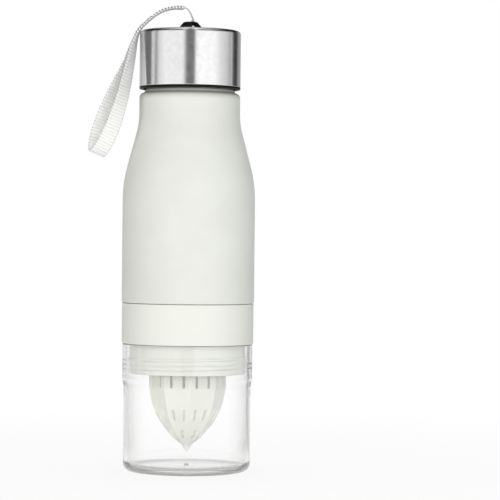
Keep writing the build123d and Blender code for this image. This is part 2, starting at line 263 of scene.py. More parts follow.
# Painted shade: the colour greys where the occlusion test finds little open sky, only high on the
# body, and a painted band darkens the shoulder's soft edge as the cap's shadow would
shade_rises = 120 * MM, 180 * MM
shoulder_shade_heights = 198.8 * MM, 202.0 * MM
neck_begins = 202.6 * MM, 203.4 * MM
sky_seen = 0.6, 1.0
pale = shader.inputs["Base Color"].links[0].from_socket
open_sky = add("ShaderNodeAmbientOcclusion", {"Distance": 16 * MM}, samples=4).outputs["AO"]
altitude = add(SPLIT, [place]).outputs[2]
deepest = add(RANGE, [altitude, *shade_rises, 1.0, 0.0])
shoulder = add(RANGE, [altitude, *shoulder_shade_heights, 1.0, 0.4])
neck = add(RANGE, [altitude, *neck_begins, 0.0, 1.0])
palest = add("MAXIMUM", [shoulder, neck])
unshaded_share = add(RANGE, [open_sky, *sky_seen, deepest, palest])
# Mix the painted shade's grey into the unshaded colour
painted_cap_shade = add(MIX, {0: unshaded_share, 6: colour("#989A93"), 7: pale}, data_type="RGBA")
plug(shader, {"Base Color": painted_cap_shade.outputs[2]})
print("frosted plastic", frosted.name)

# %% [markdown]
# ### The clear cup's plastic
#
# The cup is injection-moulded SAN, as clear as glass. Its lowest three millimetres are hazy,
# most of all outside the ring that it stands on. Its thin wall, but not its collar, has a painted
# shade where it turns away from the eye: a grey in its colour that darkens its edges.

# %% Clear plastic
clear_san, add, shader, place = new_finish(
    "moulded clear SAN", "#FFFFFF", {"Roughness": 0.02, "IOR": 1.5}, ("Roughness", 0.01, 0.035, 90),
)
standing_ring = 24 * MM, 28 * MM
foot_haze = 1.1 * MM, 3.0 * MM
collar_begins = 48 * MM, 52 * MM
turned_away = 0.25, 1.0
axes = add(SPLIT, [place]).outputs
flat = add(JOIN, [axes[0], axes[1]])
from_axis = add(VECTOR, [flat], operation="LENGTH").outputs["Value"]
outer_part = add(RANGE, [from_axis, *standing_ring, 0.3, 1.0])
foot_part = add(RANGE, [axes[2], *foot_haze, 1.0, 0.0])
haze = add("MULTIPLY", [foot_part, outer_part])
# Painted shade: the wall's colour greys where it faces away from the eye, below the collar only;
# the haze at the foot is the cup's own
facing = add("ShaderNodeLayerWeight", {"Blend": 0.5}).outputs["Facing"]
below_collar = add(RANGE, [axes[2], *collar_begins, 1.0, 0.0])
painted_edge_shade = add(RANGE, [facing, *turned_away, 0.0, below_collar])
haze_and_edge_shade = add("MAXIMUM", [haze, painted_edge_shade])
haze_and_painted_edge_shade = add(MIX, {0: haze_and_edge_shade, 6: WHITE, 7: colour("#D6D8D4")}, data_type="RGBA")
clearness = add(RANGE, [haze, 0.0, 1.0, 1.0, 0.38])
plug(shader, {"Base Color": haze_and_painted_edge_shade.outputs[2], "Transmission Weight": clearness})
print("clear plastic", clear_san.name)

# %% [markdown]
# ### The other mouldings
#
# The ring is glossy white ABS. The cone is natural polypropylene, which is milky, so light
# spreads inside it. The cap's inside and the lug are black polypropylene with the faint
# texture of a spark-eroded mould, and the seals are silicone.

# %% White, milky, black and silicone
white_abs, milky_pp, black_pp, silicone = [new_finish(*recipe)[0] for recipe in (
    ("moulded white ABS", "#E9EBE4", {
        "Roughness": 0.32, "IOR": 1.54, "Subsurface Weight": 0.25, "Subsurface Scale": 1.5 * MM,
        "Subsurface Radius": (1, 1, 0.9),
    }, ("Roughness", 0.28, 0.38, 120), (1500, 0.01 * MM, 0.08)),
    ("natural polypropylene", "#EEF0E7", {
        "Roughness": 0.34, "IOR": 1.49, "Transmission Weight": 0.05, "Subsurface Weight": 0.5,
        "Subsurface Scale": 3 * MM, "Subsurface Radius": (1, 1, 1),
    }, ("Roughness", 0.3, 0.4, 150), (2500, 0.01 * MM, 0.1)),
    ("textured black polypropylene", "#050506", {
        "Roughness": 0.5, "IOR": 1.49, "Specular IOR Level": 0.2,
    }, ("Roughness", 0.42, 0.56, 300), (3500, 0.015 * MM, 0.2)),
    ("moulded silicone", "#DCDCD6", {
        "Roughness": 0.5, "IOR": 1.41, "Transmission Weight": 0.25,
    }, ("Base Color", "#D6D6D0", "#E0E0DB", 200), (2000, 0.01 * MM, 0.12)),
)]
print("mouldings", [finish.name for finish in (white_abs, milky_pp, black_pp, silicone)])

# %% [markdown]
# ### The steel
#
# The cap's shell is drawn stainless steel, polished while it turned. The fine scratches round
# it spread each reflection up and down into upright stripes. Anisotropy round the axis does
# this, and a noise stretched along the scratches gives their grain, a sixth of a millimetre
# apart.

# %% Steel
steel, add, shader, place = new_finish("turned stainless steel", "#E6E6E7", {
    "Roughness": 0.2, "Metallic": 1, "Anisotropic": 0.75, "Anisotropic Rotation": 0.25,
}, ("Roughness", 0.17, 0.24, 400), (1, 0.004 * MM, 0.25, (60, 60, 6000)))
plug(shader, {"Tangent": add("ShaderNodeTangent", direction_type="RADIAL", axis="Z")})
print("steel", steel.name)

# %% [markdown]
# ### The webbing and the string
#
# The strap is white polyester grosgrain. Its fat cross ribs are real shapes in the mesh, and
# the hollows between them get a painted shade, darkest on the tape's thin edges. The fine yarns
# over the ribs, 0.4 mm apart, are a wave that follows the tape's own map in millimetres.

# %% Fabrics
WAVE_UNIT = 0.314  # a wave texture of scale 1 repeats at this distance
HALF_ROUND, EDGE_ROUND = 9.26, 1.3  # mm round the tape: one edge with one face, and the edge


def new_fabric(name, base, yarn_hollow_shade, yarn):
    """A woven finish: yarns along the piece's own map, a soft sheen and a faint painted shade in
    the hollows between the yarns.
    """
    finish, add, shader, place = new_finish(name, base, {
        "Roughness": 0.8, "Sheen Weight": 0.35, "Sheen Roughness": 0.4,
        "Subsurface Weight": 0.25, "Subsurface Scale": 0.8 * MM, "Subsurface Radius": (1, 1, 1),
    })
    weave = add("ShaderNodeUVMap", uv_map="weave")
    settings = {"Scale": WAVE_UNIT / yarn, "Distortion": 0.6, "Detail": 1, "Detail Scale": 2}
    yarns = add("ShaderNodeTexWave", {"Vector": weave, **settings}, bands_direction="Y")
    fluff = add(NOISE, {"Vector": place, "Scale": 3000, "Detail": 3})
    mixed = add("MULTIPLY_ADD", [fluff, 0.5, yarns.outputs[1]])
    bump = add("ShaderNodeBump", {"Height": mixed, "Distance": 0.08 * MM, "Strength": 0.5})
    # Faint painted shade: the colour dims where the yarn wave, and so the bump, is low
    woven = add(MIX, {0: yarns.outputs[1], 6: colour(yarn_hollow_shade), 7: colour(base)}, data_type="RGBA")
    plug(shader, {"Normal": bump, "Base Color": woven.outputs[2]})
    return finish, add, shader, weave, woven.outputs[2]


webbing, add, shader, weave, woven = new_fabric(
    "woven polyester grosgrain", "#FBFBFA", "#F0F0EF", 0.4,
)
# Painted shade: grey is mixed in where the ribs dip, strongest on the tape's thin edges
rib = add("ShaderNodeAttribute", attribute_name="rib").outputs["Fac"]
girth = add(SPLIT, [weave]).outputs[1]
round_once = add("MODULO", [girth, HALF_ROUND])
on_edge = add("LESS_THAN", [round_once, EDGE_ROUND])
darkest, narrow, wide = [
    add(RANGE, [on_edge, 0.0, 1.0, on_face, on_thin_edge])
    for on_face, on_thin_edge in ((0.72, 0.3), (0.15, 0.55), (0.65, 0.85))
]
hollows = add(RANGE, [rib, narrow, wide, darkest, 1.0])
weave_with_painted_shade = add(MIX, {0: hollows, 6: colour("#8C8C8C"), 7: woven}, data_type="RGBA")
plug(shader, {"Base Color": weave_with_painted_shade.outputs[2]})
nylon = new_fabric("twisted nylon string", "#FBFBFA", "#EDEDEB", 0.25)[0]
print("fabrics", webbing.name, "and", nylon.name)

# %% [markdown]
# ## Turned pieces
#
# Nearly every piece of a screw bottle is round, so it is drawn as an outline of corners,
# each with its radius from the axis, its height and perhaps a rounding, and turned about the
# axis. Rows of points close to each bend hold the shading flat beside it. A corner with a
# fourth number starts a wall that is cut into rows that fine, ready for a thread.

# %% Outlines and skins
SEGMENTS = 192
ROW_HOLD = 0.25
THREAD_ROW = 0.15
FINE_ROW = 0.07


def draw_outline(corners):
    """The outline's points in millimetres, with rounded corners and held rows."""
    count = len(corners)
    bends = []
    for index, (radius, height, *more) in enumerate(corners):
        here = Vector((radius, height))
        rounding = more[0] if more else 0
        if not rounding:
            bends.append([here])
            continue
        arriving = (Vector(corners[index - 1][:2]) - here).normalized()
        leaving = (Vector(corners[(index + 1) % count][:2]) - here).normalized()
        half = arriving.angle(leaving) / 2
        centre = here + (arriving + leaving).normalized() * rounding / math.sin(half)
        start = here + arriving * rounding / math.tan(half) - centre
        end = here + leaving * rounding / math.tan(half) - centre
        sweep = math.pi - 2 * half
        steps = math.ceil(4 * sweep * math.sqrt(rounding)) + 2
        bend = []
        for share in [step / steps for step in range(steps + 1)]:
            mixed = start * math.sin(sweep * (1 - share)) + end * math.sin(sweep * share)
            bend.append(centre + mixed / math.sin(sweep))
        bends.append(bend)
    points = []
    for index, bend in enumerate(bends):
        points += bend
        run = bends[(index + 1) % count][0] - bend[-1]
        fine = corners[index][3:]
        if fine:
            rows = math.ceil(run.length / fine[0])
            points += [bend[-1] + run * row / rows for row in range(1, rows)]
        elif run.length > 4 * ROW_HOLD:
            hold = run.normalized() * ROW_HOLD
            points += [bend[-1] + hold, bend[-1] + run - hold]
    return points


def make_skin(name, rings, material, sharp=32):
    """A closed mesh over rings of points; a ring of one point is a pole."""
    vertices, starts = [], []
    for ring in rings:
        starts.append(len(vertices))
        vertices += ring
    faces = []
    pairs = list(zip(range(len(rings)), range(1, len(rings))))
    if len(rings[0]) > 1:
        pairs.append((len(rings) - 1, 0))
    for low, high in pairs:
        bottom, top = starts[low], starts[high]
        around = max(len(rings[low]), len(rings[high]))
        for here in range(around):
            after = (here + 1) % around
            if len(rings[low]) == 1:
                faces.append((bottom, top + here, top + after))
            elif len(rings[high]) == 1:
                faces.append((bottom + here, bottom + after, top))
            else:
                faces.append((bottom + here, bottom + after, top + after, top + here))
    mesh = bpy.data.meshes.new(name)
    mesh.from_pydata([tuple(MM * value for value in vertex) for vertex in vertices], [], faces)
    return finish_mesh(mesh, material, sharp)


def finish_mesh(mesh, material, sharp):
    """Turn the faces outwards, smooth them up to the sharp angle and give the material."""
    work = bmesh.new()
    work.from_mesh(mesh)
    bmesh.ops.remove_doubles(work, verts=work.verts, dist=1e-7)
    bmesh.ops.recalc_face_normals(work, faces=work.faces)
    work.to_mesh(mesh)
    work.free()
    mesh.shade_smooth()
    mesh.set_sharp_from_angle(angle=math.radians(sharp))
    mesh.materials.clear()
    mesh.materials.append(material)
    return mesh


def keep_work(name, work, material):
    """A smooth mesh of the shapes gathered in a bmesh, in one material."""
    mesh = bpy.data.meshes.new(name)
    work.to_mesh(mesh)
    work.free()
    mesh.shade_smooth()
    mesh.materials.append(material)
    return mesh


def circle(radius, height):
    """One ring of a turned piece, or its pole."""
    if radius < 1e-6:
        return [(0, 0, height)]
    angles = [TAU * index / SEGMENTS for index in range(SEGMENTS)]
    return [(radius * math.cos(angle), radius * math.sin(angle), height) for angle in angles]


def new_piece(name, mesh):
    """An object at the origin that holds this mesh."""
    piece = bpy.data.objects.new(name, mesh)
    scene.collection.objects.link(piece)
    return piece


def turn_piece(name, corners, material):
    """An object whose mesh is the outline turned about the bottle's axis."""
    rings = [circle(radius, height) for radius, height in draw_outline(corners)]
    return new_piece(name, make_skin(name, rings, material))


def settle(piece, body, node):
    """Tie a finished piece to its body and let it stand for its CAD node."""
    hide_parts(node)
    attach(piece, body)
    size = [round((high - low) / MM, 1) for low, high in zip(*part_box(node))]
    print(piece.name, len(piece.data.polygons), "faces, CAD box", size)


# %% [markdown]
# ## Threads, slots and ribs as Geometry Nodes
#
# A screw thread follows a rule: at each angle its ridge stands at a height that rises by the
# lead with every turn. So one tree pushes the points of a turned wall out or in wherever they
# lie near that helix, and fades the ridge at both ends as a mould does. It makes all six
# threads. A second tree sets boxes round the axis, to cut the cone's slots or to stand as
# ribs in the cap.

# %% A tree with named inputs
def new_tree(name, **sockets):
    """An empty Geometry Nodes tree, its adder, its inputs of each kind and its output."""
    tree = bpy.data.node_groups.new(name, "GeometryNodeTree")
    tree.interface.new_socket("Geometry", in_out="OUTPUT", socket_type="NodeSocketGeometry")
    for kind, labels in {"Geometry": "Geometry", **sockets, "Material": "Material"}.items():
        for label in labels.split(", "):
            tree.interface.new_socket(label, in_out="INPUT", socket_type="NodeSocket" + kind)
    add = partial(add_node, tree)
    return tree, add, add("NodeGroupInput").outputs, add("NodeGroupOutput")


def close_tree(add, result, given, output):
    """End a tree with real geometry and its material."""
    real = add("GeometryNodeRealizeInstances", [result])
    dressing = {"Geometry": real, "Material": given["Material"]}
    plug(output, [add("GeometryNodeSetMaterial", dressing)])


def grow(piece, tree, material, values):
    """Run a tree over a piece and keep the result as the piece's plain mesh."""
    modifier = piece.modifiers.new(tree.name, "NODES")
    modifier.node_group = tree
    values = {**values, "Material": material}
    for item in tree.interface.items_tree:
        if item.name in values:
            modifier[item.identifier] = values[item.name]
    evaluated = piece.evaluated_get(bpy.context.evaluated_depsgraph_get())
    made = bpy.data.meshes.new_from_object(evaluated)
    piece.modifiers.clear()
    piece.data = made


# %% The thread tree
FADE_TURNS = 0.12
WALL_SLACK = 0.05 * MM

thread_tree, add, given, output = new_tree(
    "screw_thread", Float="Wall radius, Ridge height, Lead, Foot, Turns, Crest width, Root width",
)
axes = add(SPLIT, [add("GeometryNodeInputPosition")]).outputs
level = add(JOIN, [axes[0], axes[1]])
reach = add(VECTOR, [level], operation="LENGTH").outputs["Value"]
outward = add(VECTOR, [level], operation="NORMALIZE")
angle = add("ARCTAN2", [axes[1], axes[0]])
turned = add("DIVIDE", [angle, TAU])
begun = add("FRACT", [turned])
risen = add("SUBTRACT", [axes[2], given["Foot"]])
leads = add("DIVIDE", [risen, given["Lead"]])
past = add("SUBTRACT", [leads, begun])
nearest = add("ROUND", [past])
along = add("ADD", [nearest, begun])
aside = add("SUBTRACT", [past, nearest])
apart = add("ABSOLUTE", [aside])
distance = add("MULTIPLY", [apart, given["Lead"]])
crest, root = [add("MULTIPLY", [given[f"{part} width"], 0.5]) for part in ("Crest", "Root")]
late = add("SUBTRACT", [given["Turns"], FADE_TURNS])
soft = {"interpolation_type": "SMOOTHSTEP"}
ridge = add(RANGE, [distance, crest, root, 1.0, 0.0], **soft)
begin = add(RANGE, [along, 0.0, FADE_TURNS, 0.0, 1.0], **soft)
end = add(RANGE, [along, late, given["Turns"], 1.0, 0.0], **soft)
shown = add("MULTIPLY", [begin, end])
raised = add("MULTIPLY", [ridge, shown])
amount = add("MULTIPLY", [raised, given["Ridge height"]])
shift = add(VECTOR, {0: outward, "Scale": amount}, operation="SCALE")
on_wall = add("COMPARE", [reach, given["Wall radius"], WALL_SLACK])
push = {"Geometry": given["Geometry"], "Selection": on_wall, "Offset": shift}
close_tree(add, add("GeometryNodeSetPosition", push), given, output)


def cut_thread(piece, wall, height, foot, form):
    """Raise a right-handed thread on a piece's wall; a height below zero stands inwards."""
    lead, turns, crest_width, root_width = form
    grow(piece, thread_tree, piece.data.materials[0], {
        "Wall radius": wall * MM, "Ridge height": height * MM, "Foot": foot * MM, "Turns": turns,
        "Lead": lead * MM, "Crest width": crest_width * MM, "Root width": root_width * MM,
    })


print("thread tree", len(thread_tree.nodes), "nodes")

# %% The tree of boxes round the axis
box_tree, add, given, output = new_tree(
    "boxes_round_axis", Int="Count", Bool="Cut",
    Float="First angle, Inner reach, Length, Width, Height, Foot",
)
box_size = add(JOIN, [given["Length"], given["Width"], given["Height"]])
box = add("GeometryNodeMeshCube", {"Size": box_size})
middle = add("MULTIPLY_ADD", [given["Length"], 0.5, given["Inner reach"]])
lifted = add("MULTIPLY_ADD", [given["Height"], 0.5, given["Foot"]])
seat = add(JOIN, {0: middle, 2: lifted})
placed = add("GeometryNodeTransform", {"Geometry": box, "Translation": seat})
points = add("GeometryNodePoints", {"Count": given["Count"]})
step = add("DIVIDE", [TAU, given["Count"]])
number = add("GeometryNodeInputIndex")
swing = add("MULTIPLY_ADD", [number, step, given["First angle"]])
bearing = add(JOIN, {2: swing})
ring = {"Points": points, "Instance": placed, "Rotation": bearing}
boxes = add("GeometryNodeRealizeInstances", [add("GeometryNodeInstanceOnPoints", ring)])
exactly = {"operation": "DIFFERENCE", "solver": "EXACT"}
cut = add("GeometryNodeMeshBoolean", [given["Geometry"], boxes], **exactly)
joined = add("GeometryNodeJoinGeometry", [given["Geometry"]])
plug(joined, [boxes])
chosen = add("GeometryNodeSwitch", [given["Cut"], joined, cut], input_type="GEOMETRY")
close_tree(add, chosen, given, output)


def ring_boxes(piece, count, first_angle, foot, size, inner, is_cut):
    """Cut a row of slots through a piece, or stand a row of ribs on it."""
    length, width, height = size
    grow(piece, box_tree, piece.data.materials[0], {
        "Count": count, "First angle": math.radians(first_angle), "Inner reach": inner * MM,
        "Length": length * MM, "Width": width * MM, "Height": height * MM, "Foot": foot * MM,
        "Cut": is_cut,
    })


print("box tree", len(box_tree.nodes), "nodes")

# %% [markdown]
# ## The cup
#
# The cup is one clear moulding with a thicker collar round its mouth, a shallow recess under
# its foot, the small round mark of the mould's gate and a nub over it. Its wall is real,
# inside and out, so light bends in it as in a clear cup. Its thread is drawn very low, so
# that the collar stays clear. It casts no lamp shadow, because light comes through it.

# %% The clear cup
CUP_RADIUS, CUP_BORE, CUP_FLOOR = 34.1, 31.9, 3.2
COLLAR_RADIUS, COLLAR_BORE, COLLAR_FOOT, CUP_RIM = 34.8, 32.2, 47.3, 68.2
RECESS, RECESS_RADIUS, STAND_RADIUS = 0.8, 27.0, 27.8
GATE_RADIUS, GATE_HEIGHT = 1.3, 0.5
NUB_RADIUS, NUB_TIP, NUB_HEIGHT = 1.3, 0.9, 1.0
BORE_TOP, BORE_FOOT, BORE_BEND, BORE_ROUNDING = 62.4, 52.0, 40.0, 40.0
COLLAR_SLOPE, COLLAR_ROUNDING = 2.0, 9.0
SCREW_LEAD, SCREW_HEIGHT, FAINT_HEIGHT = 2.4, 0.8, 0.1
SCREW_FORM = SCREW_LEAD, 3.0, 0.5, 1.9  # its lead, turns, crest width and root width
FAINT_FORM = SCREW_LEAD, 3.0, 0.2, 2.3
cup_screw_foot = 54.1

fruit_cup = turn_piece("clear_fruit_cup", [
    (0, RECESS - GATE_HEIGHT), (GATE_RADIUS, RECESS - GATE_HEIGHT, 0.15),
    (GATE_RADIUS, RECESS, 0.15), (RECESS_RADIUS, RECESS, 0.4), (STAND_RADIUS, 0, 0.4),
    (CUP_RADIUS, 0, 4.5), (CUP_RADIUS, COLLAR_FOOT - COLLAR_SLOPE, COLLAR_ROUNDING),
    (COLLAR_RADIUS, COLLAR_FOOT + COLLAR_SLOPE, COLLAR_ROUNDING), (COLLAR_RADIUS, CUP_RIM, 0.15),
    (COLLAR_BORE, CUP_RIM, 0.4), (COLLAR_BORE, BORE_TOP, 0, FINE_ROW), (COLLAR_BORE, BORE_FOOT),
    (COLLAR_BORE, BORE_FOOT - 0.5, BORE_ROUNDING), (CUP_BORE, BORE_BEND, BORE_ROUNDING),
    (CUP_BORE, CUP_FLOOR, 2.5), (NUB_RADIUS, CUP_FLOOR, 0.3),
    (NUB_TIP, CUP_FLOOR + NUB_HEIGHT, 0.4), (0, CUP_FLOOR + NUB_HEIGHT),
], clear_san)
cut_thread(fruit_cup, COLLAR_BORE, -FAINT_HEIGHT, cup_screw_foot - SCREW_LEAD / 2, FAINT_FORM)
fruit_cup.visible_shadow = False
settle(fruit_cup, "cup", "fruit_cup")

# %% [markdown]
# ## The juicer ring and the seals
#
# The ring is a white band between two skirts, which screw into the cup and into the body. A
# silicone seal lies at the root of each. Their threads are the mates of those in the cup and
# the body, half a lead apart, so the ridges lie between each other.

# %% The ring and its seals
SKIRT_RADIUS, SKIRT_BORE, BAND_RADIUS = 31.0, 29.0, 35.3
BAND_FOOT, BAND_TOP, BAND_BORE = 68.5, 90.0, 33.8
SKIRT_FOOT, FINE_TOP, SKIRT_TOP = 52.5, 62.0, 104.0
FLANGE_TOP, LEDGE_BORE, LEDGE_HEIGHT = 54.3, 26.5, 1.5
SEAL_TOP, UPPER_SEAL_TOP, GASKET_TOP, NECK_TOP = 69.7, 91.5, 221.0, 219.5
body_screw_foot = 93.5

juicer_ring = turn_piece("white_juicer_ring", [
    (SKIRT_RADIUS, SKIRT_FOOT, 0.4, FINE_ROW), (SKIRT_RADIUS, FINE_TOP), (SKIRT_RADIUS, SEAL_TOP),
    (BAND_BORE, SEAL_TOP), (BAND_BORE, BAND_FOOT), (BAND_RADIUS, BAND_FOOT, 0.4),
    (BAND_RADIUS, BAND_TOP, 0.4), (SKIRT_RADIUS, BAND_TOP, 0, THREAD_ROW),
    (SKIRT_RADIUS, BAND_TOP + 2, 0, THREAD_ROW), (SKIRT_RADIUS, SKIRT_TOP, 0.4),
    (SKIRT_BORE, SKIRT_TOP, 0.4), (SKIRT_BORE, FLANGE_TOP + LEDGE_HEIGHT),
    (LEDGE_BORE, FLANGE_TOP + LEDGE_HEIGHT, 0.4), (LEDGE_BORE, FLANGE_TOP),
    (SKIRT_BORE, FLANGE_TOP), (SKIRT_BORE, SKIRT_FOOT),
], white_abs)
for screw_foot in (cup_screw_foot, body_screw_foot):
    cut_thread(juicer_ring, SKIRT_RADIUS, SCREW_HEIGHT, screw_foot, SCREW_FORM)
settle(juicer_ring, "juicer", "juicer_ring")

for name, inner, outer, foot, top, body, node in (
    ("lower_silicone_seal", 31.3, 33.5, CUP_RIM, SEAL_TOP, "cup_seal", "lower_seal"),
    ("upper_silicone_seal", 31.3, 33.9, BAND_TOP, UPPER_SEAL_TOP, "body_seal", "upper_seal"),
    ("cap_silicone_gasket", 20.8, 24.3, NECK_TOP, GASKET_TOP, "gasket", "cap_gasket"),
):
    corners = [(inner, foot, 0.4), (outer, foot, 0.4), (outer, top, 0.4), (inner, top, 0.4)]
    settle(turn_piece(name, corners, silicone), body, node)

# %% [markdown]
# ## The juicer cone
#
# The reamer hangs point down under a flange, in a bullet's outline. Nine sharp ridges run down
# it with hollow flutes between them: each level is one ring of points whose radius dips
# between ridges. The box tree then cuts the slots for the juice, two to each flute in two
# rows, and one near the tip. Like the cup, the milky cone casts no lamp shadow.

# %% The fluted cone
CONE_TIP, CONE_RADIUS, CONE_WALL, CONE_FULLNESS = 12.0, 21.0, 1.5, 2.8
RIDGES, RIDGE_ANGLE, FLUTE_DEPTH, RIDGE_POINTS = 9, 5.0, 0.075, 24
NIB_FOOT, NIB_RADIUS, NIB_SHARE = 10.4, 0.25, 0.045
HOLLOW_SHARE, HOLLOW_DROP = 0.17, 1.6  # where the hollow inside ends, and its round end
FLANGE_RADIUS, FLANGE_ROOT, FLANGE_BORE, OUTER_ROWS, INNER_ROWS = 28.95, 22.5, 19.0, 48, 30
cone_length = FLANGE_TOP - CONE_TIP


def ridge_radius(share):
    """Radius of the ridges at a share of the way from the tip to the flange."""
    return CONE_RADIUS * (1 - (1 - share) ** CONE_FULLNESS)


def cone_height(share):
    """Height at a share of the way from the tip to the flange."""
    return CONE_TIP + share * cone_length


def hollow_radius(share):
    """Radius of the smooth hollow inside the flutes."""
    return ridge_radius(share) * (1 - FLUTE_DEPTH) - CONE_WALL


def cone_ring(radius, height, depth):
    """A ring that dips by the flutes' depth between its ridges."""
    ring = []
    half = math.pi / RIDGES
    for index in range(RIDGE_POINTS * RIDGES):
        off = (index % RIDGE_POINTS) / (RIDGE_POINTS / 2) * half - half
        chord = math.cos(half) / math.cos(off)
        dip = (depth - (1 - math.cos(half))) * (1 - (off / half) ** 2)
        level = radius * (1 + (chord - 1 - dip) * depth / FLUTE_DEPTH)
        turn = TAU * index / (RIDGE_POINTS * RIDGES) + math.radians(RIDGE_ANGLE - 90)
        ring.append((level * math.cos(turn), level * math.sin(turn), height))
    return ring


nib_spread = ridge_radius(NIB_SHARE) - NIB_RADIUS
nib_length = cone_height(NIB_SHARE) - NIB_FOOT
fluted_share = (SKIRT_FOOT - CONE_TIP) / cone_length - NIB_SHARE
outer_shares = [NIB_SHARE + fluted_share * row / OUTER_ROWS for row in range(OUTER_ROWS + 1)]
inner_shares = [1 - (1 - HOLLOW_SHARE) * row / INNER_ROWS for row in range(INNER_ROWS + 1)]
flange = draw_outline([
    (FLANGE_ROOT, SKIRT_FOOT), (FLANGE_RADIUS, SKIRT_FOOT, 0.15),
    (FLANGE_RADIUS, FLANGE_TOP, 0.15), (FLANGE_BORE, FLANGE_TOP),
])
rings = [[(0, 0, NIB_FOOT)]]
rings += [
    cone_ring(NIB_RADIUS + nib_spread * s, NIB_FOOT + nib_length * s, FLUTE_DEPTH * s)
    for s in (0, 0.2, 0.4, 0.6, 0.8)
]
rings += [cone_ring(ridge_radius(s), cone_height(s), FLUTE_DEPTH) for s in outer_shares]
rings += [cone_ring(radius, height, 0) for radius, height in flange[:-1]]
rings += [cone_ring(hollow_radius(s), cone_height(s), 0) for s in inner_shares]
hollow_foot = cone_height(HOLLOW_SHARE)
rings += [
    cone_ring(hollow_radius(HOLLOW_SHARE) * math.cos(a), hollow_foot - HOLLOW_DROP * math.sin(a), 0)
    for a in (0.4, 0.8, 1.2)
]
rings += [[(0, 0, hollow_foot - HOLLOW_DROP)]]
cone_mesh = make_skin("milky_juicer_cone", rings, milky_pp, 28)
juicer_cone = new_piece("milky_juicer_cone", cone_mesh)
print("cone rings", len(rings))

# %% The cone's slots
SLOT_WIDTH, SLOT_START, SLOT_GAP, TOP_SLOT = 1.3, 0.5, 0.01, 6
MIDDLE_SHARE, MIDDLE_SLOT, TIP_SHARE, TIP_SLOT = 0.376, 5.9, 0.147, 4.4
slot_step = 360 / RIDGES
first_slot = RIDGE_ANGLE - 90 + slot_step / 4
for count, first, foot, length in (
    (2 * RIDGES, first_slot, SKIRT_FOOT - TOP_SLOT, TOP_SLOT - SLOT_GAP),
    (2 * RIDGES, first_slot, cone_height(MIDDLE_SHARE), MIDDLE_SLOT),
    (RIDGES, first_slot + slot_step / 4, cone_height(TIP_SHARE), TIP_SLOT),
):
    slot_size = CONE_RADIUS, SLOT_WIDTH, length
    ring_boxes(juicer_cone, count, first, foot, slot_size, SLOT_START, is_cut=True)
finish_mesh(juicer_cone.data, milky_pp, 28)
settle(juicer_cone, "juicer", "juicer_cone")
juicer_cone.visible_shadow = False

# %% [markdown]
# ## The frosted body
#
# The body is straight from its foot to the flank and draws in to the shoulder in two long soft
# bends. Above the shoulder's rounded edge stand a low bead and a threaded neck, which the cap
# covers. The body is hollow, with a real wall and a wider mouth below for the ring's skirt.

# %% The frosted body
BODY_RADIUS, BODY_BORE, SCREW_BORE, LIP_BORE = 35.5, 33.5, 32.4, 34.2
BODY_FOOT, FLANK_FOOT, FLANK_TOP, BEAD_FOOT, BEAD_TOP = 90.3, 154.2, 186.3, 202.6, 204.2
SHOULDER_RADIUS, SHOULDER_BORE, SHOULDER_CEILING = 27.0, 25.0, 199.5
BEAD_RADIUS, NECK_RADIUS, MOUTH_RADIUS = 24.2, 23.3, 21.0
CAP_LEAD, CAP_SCREW_HEIGHT, STEP_FOOT, STEP_TOP = 4.0, 0.7, 106.3, 107.8
CAP_FORM = CAP_LEAD, 2.5, 0.8, 2.2
neck_screw_foot = 206.5

upper_body = turn_piece("frosted_upper_body", [
    (LIP_BORE, BODY_FOOT), (BODY_RADIUS, BODY_FOOT, 0.4), (BODY_RADIUS, FLANK_FOOT, 69),
    (SHOULDER_RADIUS, FLANK_TOP, 42), (SHOULDER_RADIUS, BEAD_FOOT, 2.7), (BEAD_RADIUS, BEAD_FOOT),
    (BEAD_RADIUS, BEAD_TOP, 0.4), (NECK_RADIUS, BEAD_TOP, 0, THREAD_ROW),
    (NECK_RADIUS, NECK_TOP, 0.6), (MOUTH_RADIUS, NECK_TOP, 0.6),
    (MOUTH_RADIUS, SHOULDER_CEILING, 1.5), (SHOULDER_BORE, SHOULDER_CEILING, 1.5),
    (SHOULDER_BORE, FLANK_TOP, 44), (BODY_BORE, FLANK_FOOT, 67), (BODY_BORE, STEP_TOP),
    (SCREW_BORE, STEP_FOOT, 0, THREAD_ROW), (SCREW_BORE, UPPER_SEAL_TOP),
    (LIP_BORE, UPPER_SEAL_TOP),
], frosted)
cut_thread(upper_body, SCREW_BORE, -SCREW_HEIGHT, body_screw_foot + SCREW_LEAD / 2, SCREW_FORM)
cut_thread(upper_body, NECK_RADIUS, SCREW_HEIGHT, neck_screw_foot, CAP_FORM)
settle(upper_body, "bottle", "upper_body")

# %% [markdown]
# ## The cap
#
# A drawn steel shell covers a black liner, whose lower ring shows as a dark line. The
# liner holds the thread, six ribs that keep the shell's top from denting, and a boss for
# the lug. The lug's dome comes from the CAD node itself: its triangles are merged in a copy
# and shaded smooth, because its arched tunnel is already exact there.

# %% The cap
CAP_RADIUS, LINER_FOOT, SHELL_FOOT, CEILING, SHELL_WALL = 27.1, 204.5, 205.7, 235.5, 0.5
LINER_BORE, LINER_RADIUS, SLEEVE_BORE, PLATE_TOP, CHAMFER = 24.6, 26.55, 24.85, 222.8, 1.7
BOSS_RADIUS, BOSS_BORE, BOSS_FLOOR, SHELL_HOLE = 5.5, 3.0, 1.4, 4.2
CAP_RIBS, CAP_RIB, RIB_START, RIB_FOOT = 6, (21.45, 1.2, 10.5), 4.25, GASKET_TOP + 0.9

